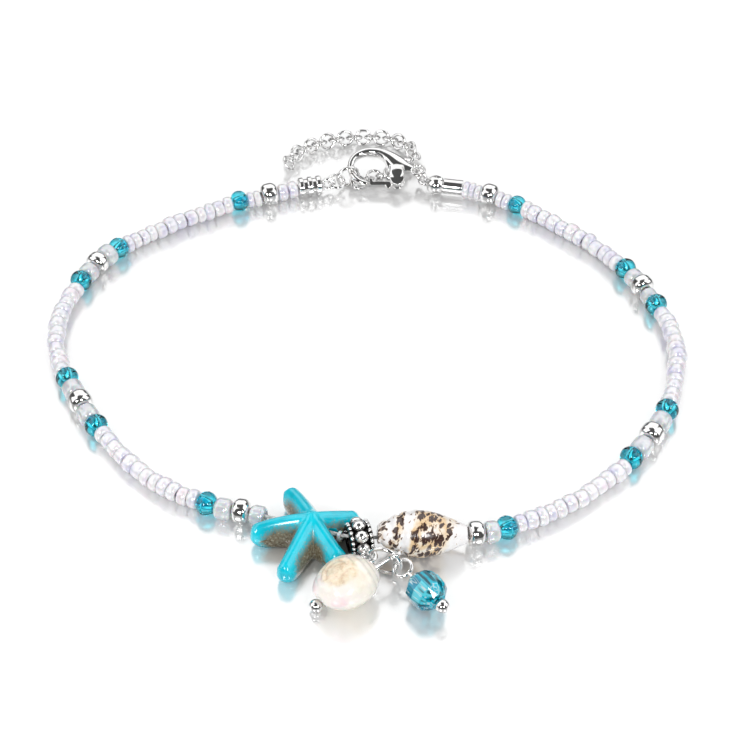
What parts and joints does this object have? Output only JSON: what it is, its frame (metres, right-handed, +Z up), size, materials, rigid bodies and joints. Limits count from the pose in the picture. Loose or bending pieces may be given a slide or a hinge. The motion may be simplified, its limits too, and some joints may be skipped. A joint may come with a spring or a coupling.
{
  "type": "charm anklet",
  "caption": "Beaded anklet closed into a loop, with a starfish, a sea shell, a pearl drop and a crystal drop, a lobster clasp and an extender chain.",
  "frame": {"origin": "on the surface that the anklet lies on, under the middle of the anklet with its extender chain", "axes": "+Z up from the surface, +Y from the charms at the front towards the clasp and the chain at the back, +X to the right as seen from the front"},
  "size_m": [0.0804, 0.0914, 0.0055],
  "materials": {
    "thread": "fine white nylon",
    "white_glass": "opaque lustred",
    "aqua_glass": "clear, polished",
    "clear_glass": "clear, polished",
    "turquoise_stone": "polished, brown matrix in the hollows",
    "shell": "smooth natural shell with brown dashes",
    "pearl": "nacre",
    "crystal_glass": "cut and polished",
    "dark_silver": "cast, darkened in the hollows",
    "silver": "polished"
  },
  "bodies": {
    "anklet": {"thread": "thread", "seed_string_1": "white_glass", "seed_string_2": "white_glass", "seed_string_3": "white_glass", "seed_string_4": "white_glass", "seed_string_5": "white_glass", "seed_string_6": "white_glass", "seed_string_7": "white_glass", "seed_string_8": "white_glass", "seed_string_9": "white_glass", "seed_string_10": "white_glass", "aqua_bead_1": "aqua_glass", "aqua_bead_2": "aqua_glass", "aqua_bead_3": "aqua_glass", "aqua_bead_4": "aqua_glass", "aqua_bead_5": "aqua_glass", "aqua_bead_6": "aqua_glass", "aqua_bead_7": "aqua_glass", "aqua_bead_8": "aqua_glass", "aqua_bead_9": "aqua_glass", "aqua_bead_10": "aqua_glass", "aqua_bead_11": "aqua_glass", "aqua_bead_12": "aqua_glass", "clear_bead_1": "clear_glass", "clear_bead_2": "clear_glass", "clear_bead_3": "clear_glass", "clear_bead_4": "clear_glass", "clear_bead_5": "clear_glass", "clear_bead_6": "clear_glass", "clear_bead_7": "clear_glass", "clear_bead_8": "clear_glass", "clear_bead_9": "clear_glass", "clear_bead_10": "clear_glass", "clear_bead_11": "clear_glass", "clear_bead_12": "clear_glass", "silver_bead_1": "silver", "silver_bead_2": "silver", "silver_bead_3": "silver", "silver_bead_4": "silver", "silver_bead_5": "silver", "silver_bead_6": "silver", "silver_bead_7": "silver", "silver_bead_8": "silver", "starfish": "turquoise_stone", "bail": "dark_silver", "shell": "shell", "charm_ring": "silver", "pearl": "pearl", "pearl_pin": "silver", "crystal": "crystal_glass", "crystal_pin": "silver", "left_end_cap": "silver", "end_ring": "silver", "held_ring": "silver", "clasp_body": "silver", "clasp_ring": "silver", "right_end_cap": "silver", "extender_chain": "silver"},
    "lever": {"clasp_lever": "silver"}
  },
  "joints": [
    {"name": "lever_hinge", "type": "hinge", "parent": "anklet", "child": "lever", "pos_m": [0.0043, 0.03309, 0.00164], "axis": [0.0354, 0.4052, -0.9135], "range_deg": [0, 25], "stiffness_Nm_per_rad": 0.002, "springref_deg": -11.46}
  ]
}
